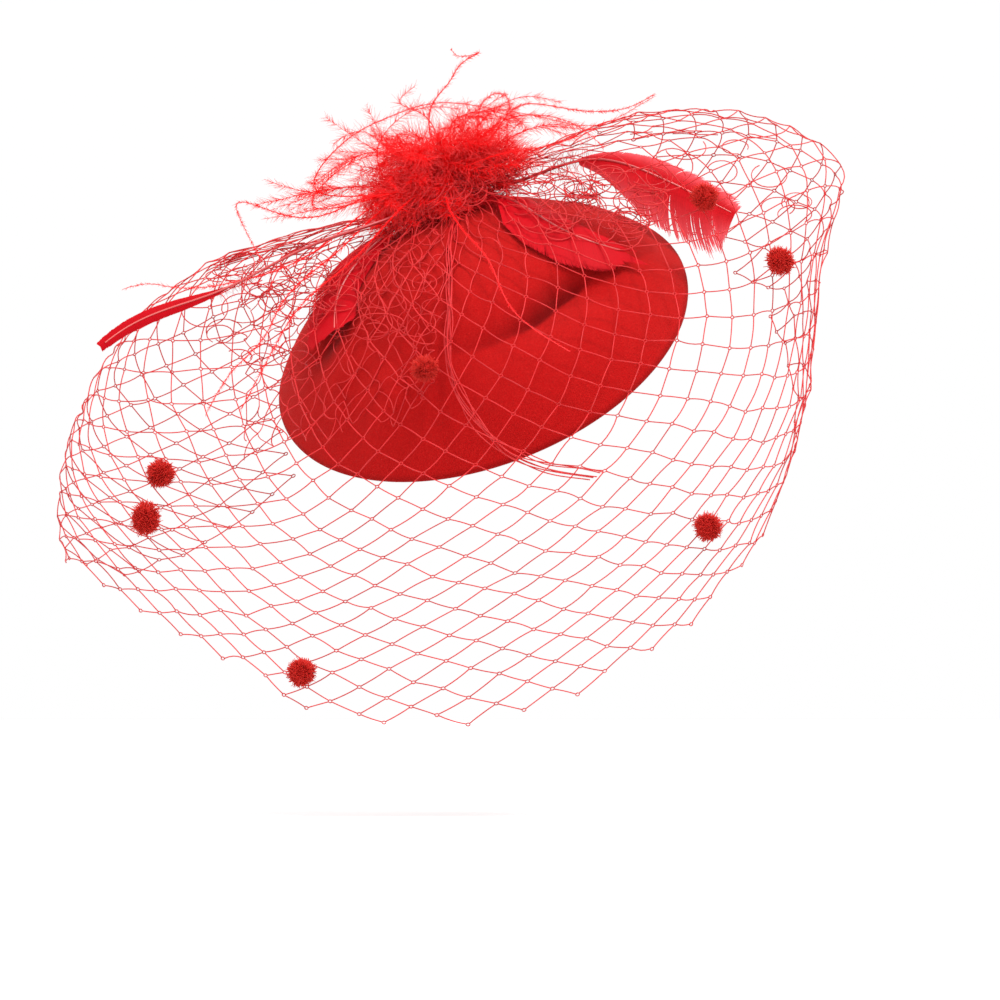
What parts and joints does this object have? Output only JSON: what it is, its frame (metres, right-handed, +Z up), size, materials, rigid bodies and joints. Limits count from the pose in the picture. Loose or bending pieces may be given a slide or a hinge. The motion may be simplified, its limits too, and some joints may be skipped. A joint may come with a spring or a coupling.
{
  "type": "fascinator headpiece",
  "caption": "Round tilted felt fascinator with a creased crown, gathered diamond net veil with chenille dots, feather trimming and a sprung hair clip beneath.",
  "frame": {"origin": "centre of the crown's flat rim, the face that rests on the head", "axes": "+Z up with the wearer's head upright, the wearer faces -Y, +X to a viewer's right; the crown leans forward and to the wearer's right as worn"},
  "size_m": [0.2756, 0.1709, 0.2378],
  "materials": {
    "felt": "matt wool felt",
    "backing_felt": "matt felt",
    "clip_metal": "nickel plated",
    "spring_steel": "bright",
    "thread": "spun thread",
    "net": "stiff knotted net",
    "chenille": "tufted chenille",
    "goose_feather": "silky feather",
    "fluff": "downy"
  },
  "bodies": {
    "headpiece": {"clip_pad": "backing_felt", "clip_pin": "clip_metal", "clip_plate": "clip_metal", "clip_spring": "spring_steel", "clip_stitches": "thread", "feather_far_right": "goose_feather", "feather_left_leaf": "goose_feather", "feather_left_long": "goose_feather", "feather_right_leaf": "goose_feather", "felt_crown": "felt", "frond_left_high": "fluff", "frond_left_low": "fluff", "frond_right": "fluff", "frond_top": "fluff", "marabou_puff": "fluff", "stem_binding": "thread", "trim_disc": "backing_felt", "veil_dot_crown": "chenille", "veil_dot_feather": "chenille", "veil_dot_left_low": "chenille", "veil_dot_left_top": "chenille", "veil_dot_low_left": "chenille", "veil_dot_right_low": "chenille", "veil_dot_right_top": "chenille", "veil_gather_thread": "thread", "veil_net": "net", "wisp_arch": "fluff", "wisp_crown": "fluff", "wisp_left_kink": "fluff", "wisp_low_inner": "fluff", "wisp_low_outer": "fluff", "wisp_right": "fluff", "wisp_tall": "fluff", "wisp_thin_left": "fluff"},
    "clip_jaw": {"clip_fork": "clip_metal"}
  },
  "joints": [
    {"name": "clip_open", "type": "hinge", "parent": "headpiece", "child": "clip_jaw", "pos_m": [-0.01829, 0.03115, 0.03438], "axis": [0.9062, 0.0725, 0.4166], "range_deg": [0, 30], "stiffness_Nm_per_rad": 0.05, "springref_deg": -20.05, "deforming": ["clip_spring"]}
  ]
}
